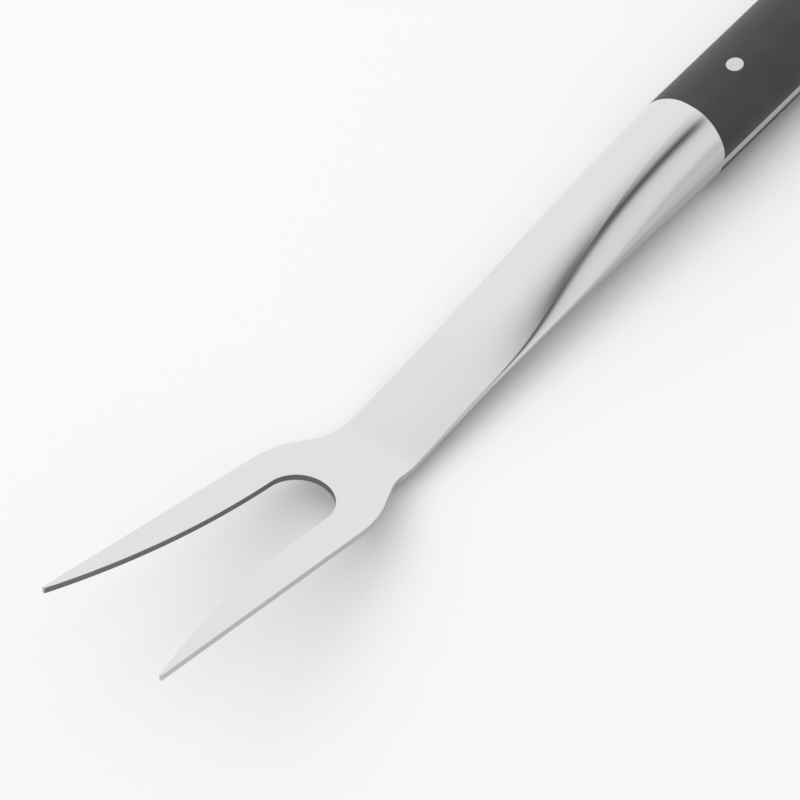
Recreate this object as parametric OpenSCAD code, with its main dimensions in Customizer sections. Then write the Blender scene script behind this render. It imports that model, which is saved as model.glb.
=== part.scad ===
// Barbecue fork: a forged two-tined blank with a full tang, and two riveted handle scales.
// The fork lies on the underside of its handle, tips up. +X runs along the handle to the butt.

/* [Head] */
// Length of the flat head, from the tips to the start of the bend
head_l = 99; // [96:0.1:115]
// Width across the outer edges of the two tips
tip_span = 43.4; // [40:0.1:50]
// Width of the head where the shoulders start to turn in
head_w = 39.6; // [36:0.1:43]
// Distance from the tips to the start of the shoulders
tine_side_l = 74.6; // [60:0.1:77]
// Width of the gap at its round end
gap_w = 19.8; // [14:0.1:22]
// Distance from the tips to the round end of the gap
gap_l = 80.8; // [60:0.1:86]
// Width of each tine at its tip
tip_w = 0.8; // [0.4:0.1:2]
// Radius of the round shoulder on each side of the head
shoulder_r = 27.7; // [15:0.1:30]
// Radius of the hollow where the head narrows to the shank
neck_r = 12.2; // [8:0.1:16]
// Straight stretch between the neck's hollow and the bend
neck_flat = 0.8; // [0.4:0.1:3]
// Thickness of the flat plate of the head and shank
plate_t = 2; // [1.6:0.1:2.6]

/* [Shank] */
// Width of the shank
shank_w = 24.5; // [22:0.1:27]
// Length of the plain shank between the bend and the bolster
shank_l = 25.2; // [15:0.1:40]
// Angle by which the head is bent up against the shank
bend_a = 21.2; // [14:0.1:28]
// Radius of the bend, at the middle of the plate
bend_r = 16; // [8:0.5:30]
// Rounding of the shank's long edges
edge_r = 0.7; // [0.2:0.05:0.75]

/* [Bolster] */
// Length over which the plate swells into the bolster
bolster_l = 99.8; // [80:0.1:115]
// Angle of the gentle arch along the bolster
arch_a = 4.3; // [2:0.1:7]
// Slant of the bolster's end face, its top leaning to the butt
slant_a = 26; // [0:1:35]
// Delay with which the bolster's sides thicken after its middle, 1 being none
side_lag = 1.85; // [1:0.05:2.5]

/* [Handle] */
// Length of the handle scales, measured beside the tang
scale_l = 165; // [120:1:180]
// Width of the handle and of the bolster's end
handle_w = 29.2; // [26:0.1:32]
// Thickness of the handle and of the bolster's end
handle_t = 19.8; // [17.6:0.1:22]
// Rise of the crowned top and underside of the handle over their height at its sides
crown_h = 1.9; // [0.5:0.1:2.2]
// Width of the handle's round corners, seen along the handle
corner_w = 12.6; // [8:0.1:12.8]
// Share of the sides' height that the round corners take up
corner_share = 0.82; // [0.6:0.01:0.9]
// Thickness of the tang between the scales
tang_t = 2.3; // [1.8:0.1:3]
// Radius of the butt's corners, seen from above
butt_plan_r = 12; // [6:0.5:12.8]
// Radius of the butt's corners, seen from the side
butt_side_r = 6; // [2:0.5:7.5]

/* [Rivets and hanging hole] */
// Diameter of the three handle rivets
rivet_d = 5; // [4:0.1:7]
// Distance from the bolster's end to the front rivet
rivet_front_x = 24; // [20:0.5:40]
// Distance from the rear rivet to the butt. The middle rivet stands halfway between the other two.
rivet_rear_inset = 41; // [28:0.5:60]
// Play between the rivets and their holes, and between the scales and the bolster
fit = 0.05; // [0.02:0.01:0.15]
// Diameter of the hanging hole through the butt
hang_d = 7; // [5:0.1:9]
// Distance from the hanging hole's centre to the butt
hang_inset = 14; // [11:0.5:18]

/* [Hidden] */
steel = "gainsboro";
plastic = [0.2, 0.2, 0.21];

// Points in each corner and steps across the top of a cross-section, and rings along each stretch
quarter_n = 10;
flat_n = 6;
bend_rings = 8;
shank_rings = 4;
bolster_rings = 26;
// How far the shank runs into the head, how much slimmer it is there on each side, and how rounded
neck_lap = 3;
neck_step = 0.05;
neck_edge = 0.2;
// Steps in a short arc of the head's outline
arc_n = 12;
// Fineness of the true arcs, and how far a cutter runs past what it cuts
$fn = 96;
past = 1;

head_a = arch_a - bend_a;
arch_r = bolster_l / (arch_a * PI / 180);
bend_l = bend_r * bend_a * PI / 180;
neck_u = bolster_l + shank_l + bend_l;
gap_r = gap_w / 2;
gap_x = gap_l - gap_r;
bow_depth = tip_span / 2 - tip_w - gap_r;
bow_r = (pow(gap_x, 2) + pow(bow_depth, 2)) / (2 * bow_depth);
outer_a = atan((tip_span - head_w) / 2 / tine_side_l);
rivet_rear_x = scale_l - rivet_rear_inset;
rivet_x = [rivet_front_x, (rivet_front_x + rivet_rear_x) / 2, rivet_rear_x];

// Mid-line of the forging: [x, z, slope], u millimetres in front of the bolster's end or -u behind it
function arch_at(a) = [-arch_r * sin(a), -arch_r * (1 - cos(a)), a];
function spine(u) =
    u <= 0 ? [-u, 0, 0] :
    u <= bolster_l ? arch_at(arch_a * u / bolster_l) :
    u <= bolster_l + shank_l ? shank_at(u - bolster_l) :
    u <= neck_u ? bend_at((u - bolster_l - shank_l) / bend_l) : head_at(u - neck_u);
function shank_at(s) =
    let (p = arch_at(arch_a))
    [p[0] - s * cos(arch_a), p[1] - s * sin(arch_a), arch_a];
function bend_at(f) =
    let (p = shank_at(shank_l), a = arch_a - f * bend_a)
    [p[0] + bend_r * (sin(a) - sin(arch_a)), p[1] + bend_r * (cos(arch_a) - cos(a)), a];
function head_at(s) =
    let (p = bend_at(1))
    [p[0] - s * cos(head_a), p[1] - s * sin(head_a), head_a];

// Smooth rise from 0 to 1, and a straight blend between two values
function ease(t) = let (c = max(0, min(1, t))) c * c * (3 - 2 * c);
function mix(a, b, t) = a + (b - a) * t;

// Cross-section before crowning, [y, z]: half-width, half-height at the sides, elliptical corners
function corner(hw, sh, rx, rz, q) = [
    for (i = [0:quarter_n])
        let (
            a = 90 * (q + i / quarter_n),
            sy = q == 0 || q == 3 ? 1 : -1,
            sz = q < 2 ? 1 : -1
        )
        [sy * (hw - rx) + rx * cos(a), sz * (sh - rz) + rz * sin(a)]
];
function flat(hw, sh, rx, side) = [for (i = [1:flat_n - 1]) side * [(hw - rx) * (1 - 2 * i / flat_n), sh]];
function uncrowned(hw, sh, rx, rz) =
    concat(
        corner(hw, sh, rx, rz, 0), flat(hw, sh, rx, 1), corner(hw, sh, rx, rz, 1),
        corner(hw, sh, rx, rz, 2), flat(hw, sh, rx, -1), corner(hw, sh, rx, rz, 3)
    );
// The same with its middle raised to the half-height hh, counter-clockwise
function section(hw, hh, sh, rx, rz) =
    [for (p = uncrowned(hw, sh, rx, rz)) [p[0], p[1] * mix(hh / sh, 1, pow(p[0] / hw, 2))]];
function handle_section() =
    let (sh = handle_t / 2 - crown_h)
    section(handle_w / 2, handle_t / 2, sh, corner_w, corner_share * sh);

// Cross-section of the forging at u: flat plate at the neck, full handle section at the bolster's end
function swell(u) = max(0, min(1, 1 - u / bolster_l));
function plate_edge_r(u) = edge_r * mix(neck_edge, 1, ease((neck_u - u) / (shank_l + bend_l)));
function step(u) = neck_step * (1 - ease((neck_u - u) / bend_l));
function forging_section(u) =
    let (
        v = swell(u),
        g = ease(v),
        r = plate_edge_r(u),
        sh = mix(plate_t / 2, handle_t / 2 - crown_h, ease(pow(v, side_lag))) - step(u)
    )
    section(
        mix(shank_w, handle_w, v) / 2 - step(u),
        mix(plate_t, handle_t, g) / 2 - step(u),
        sh,
        mix(r, corner_w, g),
        mix(r, corner_share * sh, g)
    );

// Ring of points in space: the section stands across the mid-line and leans back to the slanted end face
function ring(u) =
    let (p = spine(u), lean = tan(slant_a) * pow(swell(u), 2))
    [for (s = forging_section(u)) [
        p[0] + s[1] * (lean * cos(p[2]) - sin(p[2])),
        s[0],
        p[1] + s[1] * (lean * sin(p[2]) + cos(p[2]))
    ]];

// Skin over a list of rings, closed at both ends
module skin(rings) {
    n = len(rings[0]);
    last = len(rings) - 1;
    polyhedron(
        points = [for (r = rings) each r],
        faces = concat(
            [[for (i = [0:n - 1]) i]],
            [for (k = [0:last - 1], i = [0:n - 1]) [k * n + i, (k + 1) * n + i, (k + 1) * n + (i + 1) % n]],
            [for (k = [0:last - 1], i = [0:n - 1]) [k * n + i, (k + 1) * n + (i + 1) % n, k * n + (i + 1) % n]],
            [[for (i = [n - 1:-1:0]) last * n + i]]
        )
    );
}

// Shank and sculpted bolster, starting inside the head and run on at full section past the butt
module forged_bar() {
    stations = concat(
        [neck_u + neck_lap],
        [for (k = [1:bend_rings - 1]) neck_u - bend_l * k / bend_rings],
        [for (k = [0:shank_rings - 1]) bolster_l + shank_l * (1 - k / shank_rings)],
        [for (k = [0:bolster_rings]) bolster_l * (1 - k / bolster_rings)],
        [-scale_l - handle_t]
    );
    skin([for (u = stations) ring(u)]);
}

// Points of an arc about a centre, from angle a to angle b, leaving out those before the first one wanted
function arc(c, r, a, b, n, first) =
    [for (i = [first:n]) let (t = mix(a, b, i / n)) c + r * [cos(t), sin(t)]];

// Inner edge of one tine, seen from above with the tips at x = 0: round end of the gap, then a long bow
function inner_edge() =
    concat(
        arc([gap_x, 0], gap_r, 0, 90, 2 * arc_n, 0),
        arc([gap_x, gap_r + bow_r], bow_r, -90, -90 - asin(gap_x / bow_r), 2 * arc_n, 1)
    );
// Outer edge from the tip to the neck. The run from the shoulder's arc to the neck's arc touches both.
function outer_edge() =
    let (
        c1 = [tine_side_l, head_w / 2] - shoulder_r * [sin(outer_a), cos(outer_a)],
        c2 = [head_l - neck_flat, shank_w / 2 + neck_r],
        apart = c2 - c1,
        run_a = atan2(apart[0], apart[1]) - acos(min(1, (shoulder_r + neck_r) / norm(apart)))
    )
    concat(
        [[0, tip_span / 2]],
        arc(c1, shoulder_r, 90 - outer_a, 90 - run_a, arc_n, 0),
        arc(c2, neck_r, -90 - run_a, -90, arc_n, 0),
        [[head_l, shank_w / 2]]
    );
function head_outline() =
    let (side = concat(inner_edge(), outer_edge()))
    concat(side, [for (i = [len(side) - 1:-1:1]) [side[i][0], -side[i][1]]]);

module head() {
    p = spine(neck_u);
    translate([p[0], 0, p[1]]) rotate([0, -head_a, 0]) translate([-head_l, 0, -plate_t / 2])
        linear_extrude(plate_t) polygon(head_outline());
}

// Everything behind the bolster's slanted end face, moved back by a gap
module behind_bolster(gap) {
    translate([gap / cos(slant_a), 0, 0]) rotate([0, slant_a, 0])
        translate([0, -handle_w, -2 * scale_l]) cube([2 * scale_l, 2 * handle_w, 4 * scale_l]);
}

// Outer form of the handle: its section run along it, with the butt rounded
module handle_form() {
    intersection() {
        translate([-handle_t, 0, 0]) rotate([90, 0, 90]) linear_extrude(handle_t + scale_l)
            polygon(handle_section());
        butt_outline(handle_t);
    }
}

// Room in which the handle ends: rounded at the butt both from above and from the side
module butt_outline(front) {
    intersection() {
        translate([0, 0, -handle_t]) linear_extrude(2 * handle_t)
            round_end(handle_w, butt_plan_r, front);
        rotate([90, 0, 0]) translate([0, 0, -handle_w]) linear_extrude(2 * handle_w)
            round_end(handle_t, butt_side_r, front);
    }
}

// Strip that starts in front of x = 0 and ends at the butt, w wide there between two round corners
module round_end(w, r, front) {
    translate([-front, -w / 2 - past]) square([front + scale_l - r, w + 2 * past]);
    translate([-front, -w / 2 + r]) square([front + scale_l, w - 2 * r]);
    for (side = [-1, 1])
        translate([scale_l - r, side * (w / 2 - r)]) circle(r = r);
}

// Holes of the three rivets and of the hanging hole, straight through the handle
module rivet_holes() {
    for (x = rivet_x)
        translate([x, 0, -handle_t]) cylinder(d = rivet_d + 2 * fit, h = 2 * handle_t);
}

module hanging_hole() {
    translate([scale_l - hang_inset, 0, -handle_t]) cylinder(d = hang_d, h = 2 * handle_t);
}

// Seat of one scale: the room above (1) or below (-1) the tang, behind a gap at the bolster's end face
module scale_seat(side, gap) {
    intersection() {
        behind_bolster(gap);
        translate([-scale_l, -handle_w, side > 0 ? tang_t / 2 : -tang_t / 2 - handle_t])
            cube([3 * scale_l, 2 * handle_w, handle_t]);
    }
}

// Places the fork with the middle of its length over the origin and the handle's underside at z = 0
module placed() {
    p = spine(neck_u);
    tip_x = p[0] - head_l * cos(head_a) + plate_t / 2 * sin(head_a);
    translate([-(tip_x + scale_l) / 2, 0, handle_t / 2]) children();
}

module fork_blank() {
    color(steel) placed() difference() {
        union() {
            head();
            intersection() {
                forged_bar();
                butt_outline(neck_u + past);
            }
        }
        scale_seat(1, 0);
        scale_seat(-1, 0);
        rivet_holes();
        hanging_hole();
    }
}

// Half of the handle outside the tang, on the side that points up (1) or down (-1)
module scale_half(side) {
    color(plastic) placed() difference() {
        intersection() {
            handle_form();
            scale_seat(side, fit);
        }
        rivet_holes();
        hanging_hole();
    }
}

module scale_top() {
    scale_half(1);
}

module scale_bottom() {
    scale_half(-1);
}

// Rivet through both scales and the tang, ground flush with the scales
module rivet(i) {
    color(steel) placed() intersection() {
        handle_form();
        translate([rivet_x[i], 0, -handle_t]) cylinder(d = rivet_d, h = 2 * handle_t);
    }
}

module rivet_front() {
    rivet(0);
}

module rivet_middle() {
    rivet(1);
}

module rivet_rear() {
    rivet(2);
}

fork_blank();
scale_top();
scale_bottom();
rivet_front();
rivet_middle();
rivet_rear();
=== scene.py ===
"""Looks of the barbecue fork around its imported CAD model.
The sizes repeat those of the part's source."""
from math import acos, asin, atan, atan2, cos, degrees, hypot, pi, radians, sin, sqrt, tan

import bmesh
import bpy
from mathutils import Matrix, Vector


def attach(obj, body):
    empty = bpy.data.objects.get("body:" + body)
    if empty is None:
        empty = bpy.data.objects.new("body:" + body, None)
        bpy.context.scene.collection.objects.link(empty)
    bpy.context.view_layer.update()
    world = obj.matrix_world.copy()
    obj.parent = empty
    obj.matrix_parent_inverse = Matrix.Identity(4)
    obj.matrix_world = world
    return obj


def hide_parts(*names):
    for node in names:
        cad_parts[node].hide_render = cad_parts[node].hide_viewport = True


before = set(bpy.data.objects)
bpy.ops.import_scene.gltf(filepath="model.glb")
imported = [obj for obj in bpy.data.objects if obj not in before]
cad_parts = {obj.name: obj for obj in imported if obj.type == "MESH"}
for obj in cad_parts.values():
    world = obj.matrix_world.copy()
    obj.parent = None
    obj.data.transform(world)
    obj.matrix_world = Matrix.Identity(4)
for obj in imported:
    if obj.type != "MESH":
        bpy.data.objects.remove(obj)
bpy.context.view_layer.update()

MM = 0.001

# Sizes of the part's source, in millimetres and degrees
HEAD_L, TIP_SPAN, HEAD_W, TINE_SIDE_L = 99.0, 43.4, 39.6, 74.6
GAP_W, GAP_L, TIP_W = 19.8, 80.8, 0.8
SHOULDER_R, NECK_R, NECK_FLAT, PLATE_T = 27.7, 12.2, 0.8, 2.0
SHANK_W, SHANK_L, BEND_A, BEND_R, EDGE_R = 24.5, 25.2, 21.2, 16.0, 0.7
BOLSTER_L, ARCH_A, SLANT_A, SIDE_LAG = 99.8, 4.3, 26.0, 1.85
SCALE_L, HANDLE_W, HANDLE_T = 165.0, 29.2, 19.8
CROWN_H, CORNER_W, CORNER_SHARE = 1.9, 12.6, 0.82
TANG_T, BUTT_PLAN_R, BUTT_SIDE_R = 2.3, 12.0, 6.0
RIVET_D, RIVET_FRONT_X, RIVET_REAR_INSET, FIT = 5.0, 24.0, 41.0, 0.05
HANG_D, HANG_INSET = 7.0, 14.0
NECK_EDGE_R = 0.2

HEAD_A = ARCH_A - BEND_A
ARCH_R = BOLSTER_L / radians(ARCH_A)
BEND_L = BEND_R * radians(BEND_A)
NECK_U = BOLSTER_L + SHANK_L + BEND_L
RIVET_REAR_X = SCALE_L - RIVET_REAR_INSET
RIVET_X = (RIVET_FRONT_X, (RIVET_FRONT_X + RIVET_REAR_X) / 2, RIVET_REAR_X)
SLANT = tan(radians(SLANT_A))           # how far the bolster's end leans per unit of height
SIDE_H = HANDLE_T / 2 - CROWN_H         # half-height of the handle's sides

# Fine form that the source leaves out
SHANK_CROWN = 0.25                      # slight crown of the shank, inside the flat plate
CROWN_RUN = 2 * BEND_L                  # length behind the neck over which it comes in

# Steps and rings of the smooth meshes
QUARTER_N, TOP_N, SIDE_N = 14, 12, 3    # of a section's corner, broad face and side
ARC_N, BUTT_N = 28, 24
RIVET_N, HANG_N = 48, 64
BEND_RINGS, SHANK_RINGS, BOLSTER_RINGS, BUTT_RINGS = 18, 12, 140, 18
TANG_RING = 2.0                         # from the bolster's end to the first ring behind it
SUPPORT = 0.1                           # from a corner to the point that holds its roundness
MITRE_MIN = 0.4                         # limits the inset of the profile at sharp points
SAME_POINT = 1e-9                       # a shorter step is no step

# Cutters
SEAM = 0.004                            # keeps the seats' cut off the bolster's last ring
BUTT_CUT_SIDE, BUTT_CUT_FRONT, BUTT_CUT_UP = 10, 20, 60

# Finishing: metres, degrees and per cent
MERGE, SHARP_ANGLE, NORMAL_WEIGHT = 1e-7, 30, 50


def unit(t):
    return max(0.0, min(1.0, t))


def ease(t):
    c = unit(t)
    return c * c * (3 - 2 * c)


def mix(a, b, t):
    return a + (b - a) * t


def sd(a):
    return sin(radians(a))


def cd(a):
    return cos(radians(a))


# ---- mid-line and cross-sections of the forging ----
def spine(u):
    """x, z and slope of the mid-line, u millimetres in front of the bolster's rear end."""
    if u <= 0:
        return -u, 0.0, 0.0
    a = ARCH_A * min(u / BOLSTER_L, 1)
    x, z = -ARCH_R * sd(a), -ARCH_R * (1 - cd(a))
    s = min(max(u - BOLSTER_L, 0), SHANK_L)
    x, z = x - s * cd(ARCH_A), z - s * sd(ARCH_A)
    if u <= BOLSTER_L + SHANK_L:
        return x, z, a
    a = ARCH_A - BEND_A * (u - BOLSTER_L - SHANK_L) / BEND_L
    return x + BEND_R * (sd(a) - sd(ARCH_A)), z + BEND_R * (cd(ARCH_A) - cd(a)), a


def flat(a, b, n):
    """Points between a and b, both left out, with close neighbours at the ends."""
    length = b - a
    lead = SUPPORT if length > 0 else -SUPPORT
    if abs(length) < 4 * SUPPORT:
        lead = length / 4
    return [a + lead + (length - 2 * lead) * i / n for i in range(n + 1)]


def section(hw, hh, sh, rx, rz):
    """Cross-section as (y, z), counter-clockwise, from its half-width, its half-heights in the
    middle and at the sides, and the two radii of its corners."""
    corners = []
    for q in range(4):
        sy = 1 if q in (0, 3) else -1
        sz = 1 if q < 2 else -1
        corners.append([(sy * (hw - rx) + rx * cd(90 * (q + i / QUARTER_N)),
                         sz * (sh - rz) + rz * sd(90 * (q + i / QUARTER_N)))
                        for i in range(QUARTER_N + 1)])
    points = []
    for q in range(4):
        points += corners[q]
        (y0, z0), (y1, z1) = corners[q][-1], corners[(q + 1) % 4][0]
        if q in (0, 2):
            points += [(y, z0) for y in flat(y0, y1, TOP_N)]
        else:
            points += [(y0, z0 + (z1 - z0) * i / SIDE_N) for i in range(1, SIDE_N)]
    return [(y, z * mix(hh / sh, 1, (y / hw) ** 2)) for y, z in points]


def handle_section():
    return section(HANDLE_W / 2, HANDLE_T / 2, SIDE_H, CORNER_W, CORNER_SHARE * SIDE_H)


def forging_section(u):
    """The plate's section at the neck, which grows into the handle's over the bolster."""
    v = unit(1 - u / BOLSTER_L)
    g = ease(v)
    r = mix(NECK_EDGE_R, EDGE_R, ease((NECK_U - u) / (SHANK_L + BEND_L)))
    side = PLATE_T / 2 - SHANK_CROWN * ease((NECK_U - u) / CROWN_RUN)
    sh = mix(side, SIDE_H, ease(v ** SIDE_LAG))
    return section(mix(SHANK_W, HANDLE_W, v) / 2, mix(PLATE_T, HANDLE_T, g) / 2, sh,
                   mix(r, CORNER_W, g), mix(min(r, CORNER_SHARE * sh), CORNER_SHARE * sh, g))


def ring(u):
    """The section at u in its place. It leans over to the slant of the bolster's end."""
    x, z, a = spine(u)
    lean = SLANT * unit(1 - u / BOLSTER_L) ** 2
    return [(x + w * (lean * cd(a) - sd(a)), y, z + w * (lean * sd(a) + cd(a)))
            for y, w in forging_section(u)]


# ---- outline of the head, seen from above, tips at x = 0 ----
def arc(cx, cy, r, a, b, n, first=0):
    return [(cx + r * cd(mix(a, b, i / n)), cy + r * sd(mix(a, b, i / n)))
            for i in range(first, n + 1)]


def spaced(p, q, n):
    """Points strictly between p and q."""
    return [(mix(p[0], q[0], i / n), mix(p[1], q[1], i / n)) for i in range(1, n)]


def gap_curve():
    """Radius and middle of the gap's round end, and the radius of its bowed sides."""
    r = GAP_W / 2
    x = GAP_L - r
    depth = TIP_SPAN / 2 - TIP_W - r
    return r, x, (x ** 2 + depth ** 2) / (2 * depth)


def head_side():
    """From the middle of the gap's round end to the tip, and along the outer edge to the neck."""
    gr, gx, bow = gap_curve()
    inner = (arc(gx, 0, gr, 0, 90, ARC_N)
             + arc(gx, gr + bow, bow, -90, -90 - degrees(asin(gx / bow)), ARC_N, 1))
    outer_a = degrees(atan((TIP_SPAN - HEAD_W) / 2 / TINE_SIDE_L))
    c1 = (TINE_SIDE_L - SHOULDER_R * sd(outer_a), HEAD_W / 2 - SHOULDER_R * cd(outer_a))
    c2 = (HEAD_L - NECK_FLAT, SHANK_W / 2 + NECK_R)
    dx, dy = c2[0] - c1[0], c2[1] - c1[1]
    run = degrees(atan2(dx, dy)) - degrees(acos(min(1, (SHOULDER_R + NECK_R) / hypot(dx, dy))))
    tip = (0, TIP_SPAN / 2)
    shoulder = arc(*c1, SHOULDER_R, 90 - outer_a, 90 - run, ARC_N // 2)
    neck = arc(*c2, NECK_R, -90 - run, -90, ARC_N // 2)
    return (inner + [tip] + spaced(tip, shoulder[0], ARC_N) + shoulder
            + spaced(shoulder[-1], neck[0], 4) + neck + [(HEAD_L, SHANK_W / 2)])


def head_loops():
    """For each point of the head's outline, the edge's profile from the top to the underside."""
    side = head_side()
    outline = side[::-1] + [(x, -y) for x, y in side[1:]]      # neck, tip, gap, other tip, neck
    r, h = NECK_EDGE_R, PLATE_T / 2
    profile = [(r + SUPPORT, h)] + [(r * (1 - cd(90 - a)), h - r + r * sd(90 - a))
                                    for a in (90 * i / QUARTER_N for i in range(QUARTER_N + 1))]
    zs = [h - r - (2 * h - 2 * r) * i / SIDE_N for i in range(1, SIDE_N)]
    profile += [(0.0, z) for z in zs] + [(d, -z) for d, z in profile[::-1]]
    loops = []
    last = len(outline) - 1
    for i, (x, y) in enumerate(outline):
        before, after = outline[max(i - 1, 0)], outline[min(i + 1, last)]
        normals = []
        for (ax, ay), (bx, by) in ((before, (x, y)), ((x, y), after)):
            length = hypot(bx - ax, by - ay)
            if length > SAME_POINT:
                normals.append((-(by - ay) / length, (bx - ax) / length))
        nx, ny = (sum(n[k] for n in normals) for k in (0, 1))
        size = hypot(nx, ny)
        nx, ny = nx / size, ny / size
        mitre = 1 / max(MITRE_MIN, nx * normals[0][0] + ny * normals[0][1])
        if i in (0, last):
            nx, ny, mitre = 0.0, (-1.0 if y > 0 else 1.0), 1.0
        loops.append([(x + nx * d * mitre, y + ny * d * mitre, z) for d, z in profile])
    return loops


def head_to_part(p):
    """A point of the head's own frame (x from the tips, z from the plate's middle) in the
    forging's frame."""
    x0, z0, _ = spine(NECK_U)
    d = p[0] - HEAD_L
    return (x0 + d * cd(HEAD_A) - p[2] * sd(HEAD_A), p[1],
            z0 + d * sd(HEAD_A) + p[2] * cd(HEAD_A))


def placement():
    """How far the forging's frame is from the part's frame."""
    x0, _, _ = spine(NECK_U)
    tip = x0 - HEAD_L * cd(HEAD_A) + PLATE_T / 2 * sd(HEAD_A)
    return Vector((-(tip + SCALE_L) / 2, 0, HANDLE_T / 2))


OFFSET = placement()


# ---- mesh helpers ----
def skin(rings):
    """The points of rings of equal count, and the faces between them."""
    n = len(rings[0])
    faces = [[k * n + i, (k + 1) * n + i, (k + 1) * n + (i + 1) % n, k * n + (i + 1) % n]
             for k in range(len(rings) - 1) for i in range(n)]
    return [p for r in rings for p in r], faces


def new_object(name, points, faces):
    """A closed mesh from points in the forging's frame, in millimetres."""
    bm = bmesh.new()
    verts = [bm.verts.new((Vector(p) + OFFSET) * MM) for p in points]
    for f in faces:
        bm.faces.new([verts[i] for i in f])
    bmesh.ops.remove_doubles(bm, verts=bm.verts, dist=MERGE)
    bmesh.ops.recalc_face_normals(bm, faces=bm.faces)
    mesh = bpy.data.meshes.new(name)
    bm.to_mesh(mesh)
    bm.free()
    obj = bpy.data.objects.new(name, mesh)
    bpy.context.scene.collection.objects.link(obj)
    return obj


def prism(name, outline, low, high, axis):
    """A flat outline drawn out from low to high. axis "z": outline in x, y. axis "y": in x, z."""
    n = len(outline)
    points = [(a, b, c) if axis == "z" else (a, c, b) for c in (low, high) for a, b in outline]
    faces = [list(range(n)), list(range(n, 2 * n))]
    faces += [[i, (i + 1) % n, n + (i + 1) % n, n + i] for i in range(n)]
    return new_object(name, points, faces)


def cut(obj, operation, *cutters):
    """Applies exact booleans to obj and removes the cutters."""
    for cutter in cutters:
        mod = obj.modifiers.new("cut", "BOOLEAN")
        mod.operation = operation
        mod.solver = "EXACT"
        mod.object = cutter
        graph = bpy.context.evaluated_depsgraph_get()
        mesh = bpy.data.meshes.new_from_object(obj.evaluated_get(graph))
        obj.modifiers.clear()
        obj.data = mesh
        bpy.data.objects.remove(cutter)


def circle(x, y, r, n):
    return [(x + r * cos(2 * pi * i / n), y + r * sin(2 * pi * i / n)) for i in range(n)]


def round_end(w, r, front):
    """Strip from x = -front to the butt, with two round corners there. In front of them it is
    wider than w, so that it cuts nothing else."""
    out = w / 2 + BUTT_CUT_SIDE
    return ([(-front, -out), (SCALE_L - r, -out)]
            + arc(SCALE_L - r, -w / 2 + r, r, -90, 0, BUTT_N)
            + arc(SCALE_L - r, w / 2 - r, r, 0, 90, BUTT_N)
            + [(SCALE_L - r, out), (-front, out)])


def seat(side, gap, name):
    """Room above (1) or below (-1) the tang, behind the bolster's slanted end face and a gap."""
    z0, z1 = TANG_T / 2, TANG_T / 2 + HANDLE_T
    g = gap / cd(SLANT_A)
    end = SCALE_L + 3 * HANDLE_T
    outline = [(side * z0 * SLANT + g, side * z0), (end, side * z0),
               (end, side * z1), (side * z1 * SLANT + g, side * z1)]
    return prism(name, outline, -HANDLE_W, HANDLE_W, "y")


def holes(name_start):
    """Cutters of the rivets' holes, with their play, and of the hanging hole."""
    cutters = [prism(f"{name_start}_{i}", circle(x, 0, RIVET_D / 2 + FIT, RIVET_N),
                     -HANDLE_T, HANDLE_T, "z") for i, x in enumerate(RIVET_X)]
    hanging = circle(SCALE_L - HANG_INSET, 0, HANG_D / 2, HANG_N)
    return cutters + [prism(name_start + "_h", hanging, -HANDLE_T, HANDLE_T, "z")]


def finish_mesh(obj, *materials, pick=None):
    """Smooth shading with crisp edges. pick gives a face's material from its middle and normal."""
    mesh = obj.data
    mesh.shade_smooth()
    mesh.set_sharp_from_angle(angle=radians(SHARP_ANGLE))
    mesh.materials.clear()
    for material in materials:
        mesh.materials.append(material)
    for face in mesh.polygons:
        face.material_index = pick(face.center / MM - OFFSET, face.normal) if pick else 0
    mod = obj.modifiers.new("normals", "WEIGHTED_NORMAL")
    mod.keep_sharp = True
    mod.weight = NORMAL_WEIGHT


# ---- the forged blank ----
def forged_blank():
    stations = ([NECK_U - BEND_L * k / BEND_RINGS for k in range(BEND_RINGS)]
                + [BOLSTER_L + SHANK_L * (1 - k / SHANK_RINGS) for k in range(SHANK_RINGS)]
                + [BOLSTER_L * (1 - k / BOLSTER_RINGS) for k in range(BOLSTER_RINGS + 1)]
                + [-TANG_RING, -SCALE_L - HANDLE_T])
    points, faces = skin([ring(u) for u in stations])
    start = len(points)
    faces.append(list(range(start - start // len(stations), start)))
    loops = head_loops()
    depth = len(loops[0])
    points += [head_to_part(p) for loop in loops for p in loop]
    for i in range(len(loops) - 1):
        for j in range(depth - 1):
            a = start + i * depth + j
            faces.append([a, a + 1, a + depth + 1, a + depth])
    # The head's two broad faces close against the first ring, between its supporting points
    top = list(range(QUARTER_N + 2, QUARTER_N + 1 + TOP_N))
    under_start = 3 * (QUARTER_N + 1) + TOP_N + 1 + (SIDE_N - 1)
    under = list(range(under_start + 1, under_start + TOP_N))
    faces.append([start + i * depth for i in range(len(loops))] + top[::-1])
    faces.append([start + i * depth + depth - 1 for i in range(len(loops))] + under)
    blank = new_object("forged_fork", points, faces)
    outline = round_end(HANDLE_W, BUTT_PLAN_R, NECK_U + HEAD_L + BUTT_CUT_FRONT)
    cut(blank, "INTERSECT", prism("butt_cut", outline, -BUTT_CUT_UP, BUTT_CUT_UP, "z"))
    cut(blank, "DIFFERENCE", seat(1, SEAM, "seat_up"), seat(-1, SEAM, "seat_down"),
        *holes("blank_hole"))
    return blank


# A face is broad from this height of its normal, and a side from this sideways share of it
BROAD, SIDEWAYS = 0.5, 0.75
# Margins of the gap's walls at the tips, at the round end and across, and of the bolster's front
TIP_MARGIN, CROTCH_MARGIN, WALL_MARGIN, BOLSTER_MARGIN = 0.01, 0.3, 0.2, 4


def gap_half_width(x):
    """Half-width of the gap between the tines, x from the tips."""
    r, middle, bow = gap_curve()
    behind = x - middle
    if behind > 0:
        return sqrt(max(0.0, r * r - behind * behind))
    return r + bow - sqrt(bow * bow - behind * behind)


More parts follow.
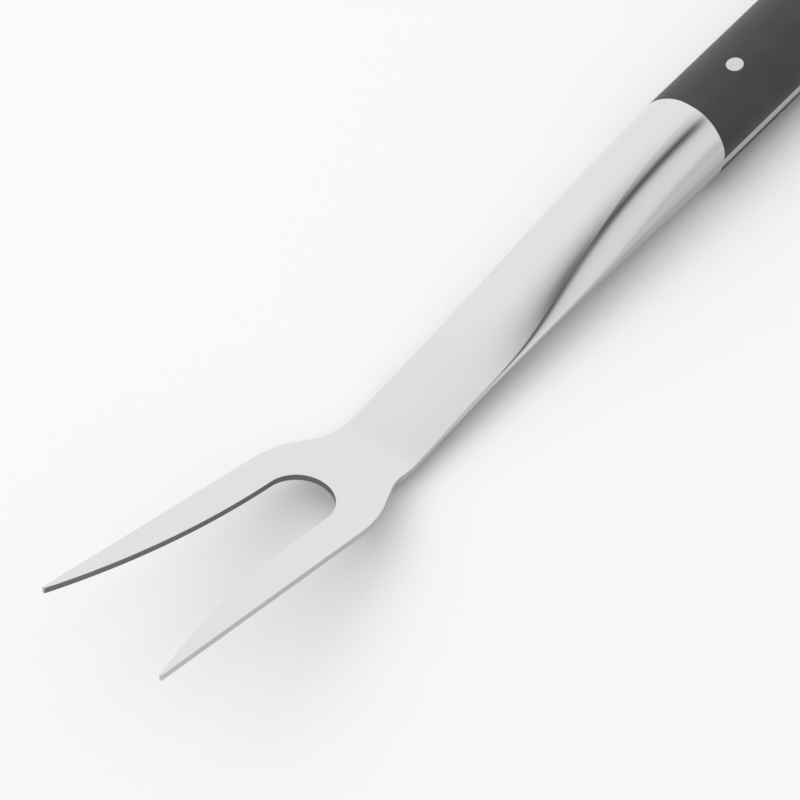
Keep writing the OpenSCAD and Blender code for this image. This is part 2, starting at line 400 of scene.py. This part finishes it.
def edge_kind(p, normal):
    """0 for the finished faces, 1 for the ground edges and side walls, darkened by painted shade,
    2 for the walls of the gap, with a darker painted shade.
    """
    x0, z0, _ = spine(NECK_U)
    along = (p.x - x0) * cd(HEAD_A) + (p.z - z0) * sd(HEAD_A) + HEAD_L
    if along < HEAD_L:
        if abs(normal.z * cd(HEAD_A) - normal.x * sd(HEAD_A)) > BROAD:
            return 0
        in_gap = (TIP_MARGIN < along < GAP_L + CROTCH_MARGIN
                  and abs(p.y) < gap_half_width(along) + WALL_MARGIN)
        return 2 if in_gap else 1
    if p.x < spine(BOLSTER_L - BOLSTER_MARGIN)[0]:
        return 1 if abs(normal.y) > SIDEWAYS else 0
    on_tang = (p.x > -TANG_T and abs(p.z) < TANG_T / 2 and abs(normal.z) < BROAD
               and p.x > p.z * SLANT)
    return 1 if on_tang else 0


# ---- the handle's scales ----
def butt_share(x):
    """Shares of the handle's width and thickness left at x, where the butt rounds in."""
    shares = []
    for half, r in ((HANDLE_W / 2, BUTT_PLAN_R), (HANDLE_T / 2, BUTT_SIDE_R)):
        past = max(0.0, x - (SCALE_L - r))
        shares.append((half - r + sqrt(max(0.0, r * r - past * past))) / half)
    return shares


def handle_form(name):
    """The handle's section drawn along x, its butt rounded in both ways by one smooth skin."""
    turns = [90 * i / BUTT_RINGS for i in range(BUTT_RINGS + 1)]
    stations = sorted({round(SCALE_L - r + r * sd(t), 6)
                       for r in (BUTT_PLAN_R, BUTT_SIDE_R) for t in turns})
    outline = handle_section()
    rings = []
    for x in [-HANDLE_T] + stations:
        ky, kz = butt_share(x)
        rings.append([(x, y * ky, z * kz) for y, z in outline])
    points, faces = skin(rings)
    n = len(outline)
    faces += [list(range(n)), list(range(len(points) - n, len(points)))]
    return new_object(name, points, faces)


def handle_scale(side, name):
    form = handle_form(name)
    cut(form, "INTERSECT", seat(side, FIT, "room"))
    cut(form, "DIFFERENCE", *holes("scale_hole"))
    return form


# ---- materials ----
NOISE = (0.3, 0.7)                      # the range that the noise mostly keeps to
STEEL_CLOUD, CLOUD_TONE = (45, 60, 45), 0.985
FLANK_SHADE_Z = (0.44, 0.62)                  # painted shade: the normal's z where the flanks' darker tone is full, and where it ends


def shader(name):
    mat = bpy.data.materials.new(name)
    mat.use_nodes = True
    return mat, mat.node_tree, mat.node_tree.nodes["Principled BSDF"]


def feed(tree, socket, value):
    """Links the socket to another node's output, or sets it to a plain value."""
    if isinstance(value, bpy.types.NodeSocket):
        tree.links.new(value, socket)
    else:
        socket.default_value = value


def grain(tree, scale, detail, rough=0.55):
    """Noise over the object's own coordinates, stretched by scale."""
    coord = tree.nodes.new("ShaderNodeTexCoord")
    mapping = tree.nodes.new("ShaderNodeMapping")
    mapping.inputs["Scale"].default_value = scale
    noise = tree.nodes.new("ShaderNodeTexNoise")
    noise.inputs["Scale"].default_value = 1.0
    noise.inputs["Detail"].default_value = detail
    noise.inputs["Roughness"].default_value = rough
    tree.links.new(coord.outputs["Object"], mapping.inputs["Vector"])
    tree.links.new(mapping.outputs["Vector"], noise.inputs["Vector"])
    return noise.outputs["Fac"]


def ranged(tree, value, source, target=(0, 1), curve="LINEAR"):
    """value, with the range source carried over to the range target."""
    node = tree.nodes.new("ShaderNodeMapRange")
    node.interpolation_type = curve
    names = ("From Min", "From Max", "To Min", "To Max")
    for name, number in zip(names, (*source, *target)):
        node.inputs[name].default_value = number
    tree.links.new(value, node.inputs["Value"])
    return node.outputs["Result"]


def mixed(tree, kind, factor, a, b):
    """a at factor 0 and b at factor 1, with colours for the kind RGBA, numbers for FLOAT."""
    node = tree.nodes.new("ShaderNodeMix")
    node.data_type = kind
    for name, value in (("Factor", factor), ("A", a), ("B", b)):
        feed(tree, node.inputs[name], value)
    return node.outputs["Result"]


def tinted(tree, value, dark, light):
    """Noise as a colour from dark to light."""
    return mixed(tree, "RGBA", ranged(tree, value, NOISE), (*dark, 1), (*light, 1))


def bump(tree, value, distance):
    node = tree.nodes.new("ShaderNodeBump")
    node.inputs["Strength"].default_value = 1.0
    node.inputs["Distance"].default_value = distance
    tree.links.new(value, node.inputs["Height"])
    return node.outputs["Normal"]


def paint_flank_shade(tree, colour, tone):
    """The colour, turning to tone where the surface stands upright or looks down: painted shade
    that darkens the flanks for the darker surroundings they reflect.
    """
    geometry = tree.nodes.new("ShaderNodeNewGeometry")
    split = tree.nodes.new("ShaderNodeSeparateXYZ")
    tree.links.new(geometry.outputs["Normal"], split.inputs["Vector"])
    share = ranged(tree, split.outputs["Z"], FLANK_SHADE_Z[::-1], curve="SMOOTHSTEP")
    return mixed(tree, "RGBA", share, colour, (*tone, 1))


def steel(name, tone, rough, brush, depth, flank_shade=1.0):
    """Brushed steel, from its tone, its range of roughness, and the scale and depth of its grain.
    The last argument is the share of its tone that painted shade leaves on faces that stand
    upright or look down."""
    mat, tree, main = shader(name)
    main.inputs["Metallic"].default_value = 1.0
    streaks = grain(tree, brush, detail=5.0, rough=0.6)
    cloud = grain(tree, STEEL_CLOUD, detail=3.0)
    colour = tinted(tree, cloud, [t * CLOUD_TONE for t in tone], tone)
    # painted shade on the faces that stand upright or look down
    if flank_shade < 1:
        colour = paint_flank_shade(tree, colour, [t * flank_shade for t in tone])
    tree.links.new(colour, main.inputs["Base Color"])
    tree.links.new(ranged(tree, streaks, NOISE, rough), main.inputs["Roughness"])
    tree.links.new(bump(tree, streaks, depth), main.inputs["Normal"])
    return mat


def plastic(name, dark, light, rough, depth):
    """Moulded plastic, cloudy from dark to light, with a fine texture."""
    mat, tree, main = shader(name)
    fine = grain(tree, (2600, 2600, 2600), detail=3.0)
    cloud = grain(tree, (90, 90, 90), detail=4.0)
    tree.links.new(tinted(tree, cloud, dark, light), main.inputs["Base Color"])
    tree.links.new(ranged(tree, fine, NOISE, rough), main.inputs["Roughness"])
    tree.links.new(bump(tree, fine, depth), main.inputs["Normal"])
    return mat


# The satin steel's flanks carry a painted shade, at 0.64 of its tone.
forged_steel = steel("satin_steel", tone=(0.79, 0.79, 0.795), rough=(0.11, 0.16),
                     brush=(22, 2300, 22), depth=4e-7, flank_shade=0.64)
# Side walls and edges: the rougher, coarser grain is their ground finish; the darker tone is
# painted shade for the darker surroundings they reflect.
ground_shaded_steel = steel("ground_edge_painted_shade_steel", tone=(0.52, 0.52, 0.525), rough=(0.28, 0.40),
                     brush=(60, 900, 1800), depth=6e-7)
# Walls of the gap: the very dark tone is painted shade for the shadowed floor under the head that
# they reflect; the rougher grain is their punched finish.
gap_wall_shade_steel = steel("gap_wall_painted_shade_steel", tone=(0.17, 0.17, 0.175), rough=(0.34, 0.50),
                      brush=(1700, 1700, 90), depth=1.5e-6)
rivet_steel = steel("rivet_steel", tone=(0.72, 0.72, 0.725), rough=(0.24, 0.32),
                    brush=(180, 2600, 180), depth=2e-7)
black_plastic = plastic("black_plastic", dark=(0.030, 0.030, 0.031), light=(0.038, 0.038, 0.039),
                        rough=(0.38, 0.52), depth=6e-6)

# ---- the pieces ----
blank = forged_blank()
finish_mesh(blank, forged_steel, ground_shaded_steel, gap_wall_shade_steel, pick=edge_kind)
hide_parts("fork_blank")
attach(blank, "root")

for side, node, name in ((1, "scale_top", "upper_scale"), (-1, "scale_bottom", "lower_scale")):
    piece = handle_scale(side, name)
    finish_mesh(piece, black_plastic)
    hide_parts(node)
    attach(piece, "root")

for node in ("rivet_front", "rivet_middle", "rivet_rear"):
    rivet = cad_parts[node]
    rivet.data.materials.clear()
    rivet.data.materials.append(rivet_steel)


# ---- floor, lamps, world and camera ----
def floor(half, z, white, rough, specular):
    mesh = bpy.data.meshes.new("floor")
    corners = [(-half, -half, z), (half, -half, z), (half, half, z), (-half, half, z)]
    mesh.from_pydata(corners, [], [(0, 1, 2, 3)])
    obj = bpy.data.objects.new("floor", mesh)
    bpy.context.scene.collection.objects.link(obj)
    mat, _, main = shader("floor_white")
    main.inputs["Base Color"].default_value = (white, white, white, 1)
    main.inputs["Roughness"].default_value = rough
    main.inputs["Specular IOR Level"].default_value = specular
    mesh.materials.append(mat)


def soft_lamp(name, location, size, strength):
    """A soft lamp aimed at the origin, where it gives a level white surface the brightness
    strength. The steel shows the studio's walls and not the lamp."""
    lamp = bpy.data.lights.new(name, "AREA")
    lamp.shape = "DISK"
    lamp.size = size
    away = Vector(location)
    lamp.energy = strength * pi ** 2 * away.length ** 2 / away.normalized().z
    obj = bpy.data.objects.new(name, lamp)
    obj.location = location
    obj.rotation_euler = away.to_track_quat("Z", "Y").to_euler()
    obj.visible_camera = False
    obj.visible_glossy = False
    bpy.context.scene.collection.objects.link(obj)


# Brightness of the studio's walls by the angle from straight up towards -y, in degrees
WALLS = ((-180, 0.84), (-110, 0.86), (-85, 0.94), (-60, 0.975), (-35, 0.955), (-20, 0.93),
         (0, 0.89), (32, 0.84), (45, 0.80), (49, 0.72), (53, 0.62), (62, 0.61), (68, 0.61),
         (75, 0.645), (82, 0.73), (88, 0.79), (180, 0.80))
# What a dark flag above the fork leaves of it, by the same angle
FLAG = ((-180, 1), (-36, 1), (-30, 0.985), (-26, 0.95), (-22, 0.885), (-18, 0.795),
        (-14, 0.69), (-10.5, 0.58), (-8, 0.45), (-6, 0.31), (-4, 0.17), (-1.5, 0.09),
        (1, 0.10), (4, 0.18), (7, 0.36), (10, 0.60), (13, 0.77), (20, 0.91), (30, 0.99),
        (36, 1), (180, 1))
FLAG_FROM, FLAG_TO = 0.10, 0.445        # the flag's reach along x, as a direction's x
FLAG_FADE_IN, FLAG_FADE_OUT = 0.06, 0.04        # how softly it begins and ends there
# Plain brightness of the two end walls, and where they begin, as a direction's x
END_WALLS, ENDS_FROM, ENDS_TO = 0.88, 0.84, 0.95


def studio_world():
    """Walls and flag by the direction, which is the only thing they depend on."""
    world = bpy.data.worlds.new("studio")
    world.use_nodes = True
    bpy.context.scene.world = world
    tree = world.node_tree

    def calc(operation, *values):
        node = tree.nodes.new("ShaderNodeMath")
        node.operation = operation
        for socket, value in zip(node.inputs, values):
            feed(tree, socket, value)
        return node.outputs["Value"]

    def profile(share, table):
        """The table's brightness at a share of the full turn from -180 to 180 degrees."""
        node = tree.nodes.new("ShaderNodeValToRGB")
        stops = node.color_ramp.elements
        for i, (degree, level) in enumerate(table):
            stop = stops[i] if i < 2 else stops.new(1.0)
            stop.position = (degree + 180) / 360
            stop.color = (level, level, level, 1)
        tree.links.new(share, node.inputs["Fac"])
        return node.outputs["Color"]

    def fade(value, low, high):
        return ranged(tree, value, (low, high), curve="SMOOTHSTEP")

    coord = tree.nodes.new("ShaderNodeTexCoord")
    split = tree.nodes.new("ShaderNodeSeparateXYZ")
    tree.links.new(coord.outputs["Generated"], split.inputs["Vector"])
    x, y, z = (split.outputs[axis] for axis in "XYZ")
    angle = calc("ARCTAN2", calc("MULTIPLY", y, -1.0), z)
    turn = calc("MULTIPLY_ADD", angle, 0.5 / pi, 0.5)
    reach = calc("MULTIPLY", fade(x, FLAG_FROM - FLAG_FADE_IN, FLAG_FROM),
                 fade(x, FLAG_TO + FLAG_FADE_OUT, FLAG_TO))
    flag = mixed(tree, "FLOAT", reach, 1.0, profile(turn, FLAG))
    level = calc("MULTIPLY", profile(turn, WALLS), flag)
    ends = fade(calc("ABSOLUTE", x), ENDS_FROM, ENDS_TO)
    level = mixed(tree, "FLOAT", ends, level, END_WALLS)
    back = tree.nodes["Background"]
    back.inputs["Color"].default_value = (1, 1, 1, 1)
    tree.links.new(level, back.inputs["Strength"])


PICTURE_PX, SENSOR_W = 800, 36
CLIP = (0.01, 50)


def camera(focal_px, location, azimuth, elevation, roll):
    """A camera whose focal length is focal_px on a picture PICTURE_PX wide. Azimuth and
    elevation point from the fork to it."""
    back = Vector((cd(elevation) * cd(azimuth), cd(elevation) * sd(azimuth), sd(elevation)))
    right = (-back).cross(Vector((0, 0, 1))).normalized()
    up = right.cross(-back)
    right, up = cd(roll) * right + sd(roll) * up, -sd(roll) * right + cd(roll) * up
    data = bpy.data.cameras.new("camera")
    data.sensor_width = SENSOR_W
    data.lens = focal_px / PICTURE_PX * SENSOR_W
    data.clip_start, data.clip_end = CLIP
    obj = bpy.data.objects.new("camera", data)
    obj.matrix_world = (Matrix.Translation(location)
                        @ Matrix((right, up, back)).transposed().to_4x4())
    bpy.context.scene.collection.objects.link(obj)
    bpy.context.scene.camera = obj


floor(half=4.0, z=-0.0001, white=0.93, rough=0.9, specular=0.1)
soft_lamp("overhead_lamp", location=(0.1, 0.1, 1.6), size=1.6, strength=0.12)
soft_lamp("side_lamp", location=(-0.5, 1.3, 1.6), size=1.4, strength=0.10)
studio_world()
camera(focal_px=3500, location=Vector((-430.892, -449.767, 755.942)) * MM,
       azimuth=-127.4124, elevation=52.6227, roll=-12.6581)
bpy.context.scene.view_settings.view_transform = "Standard"
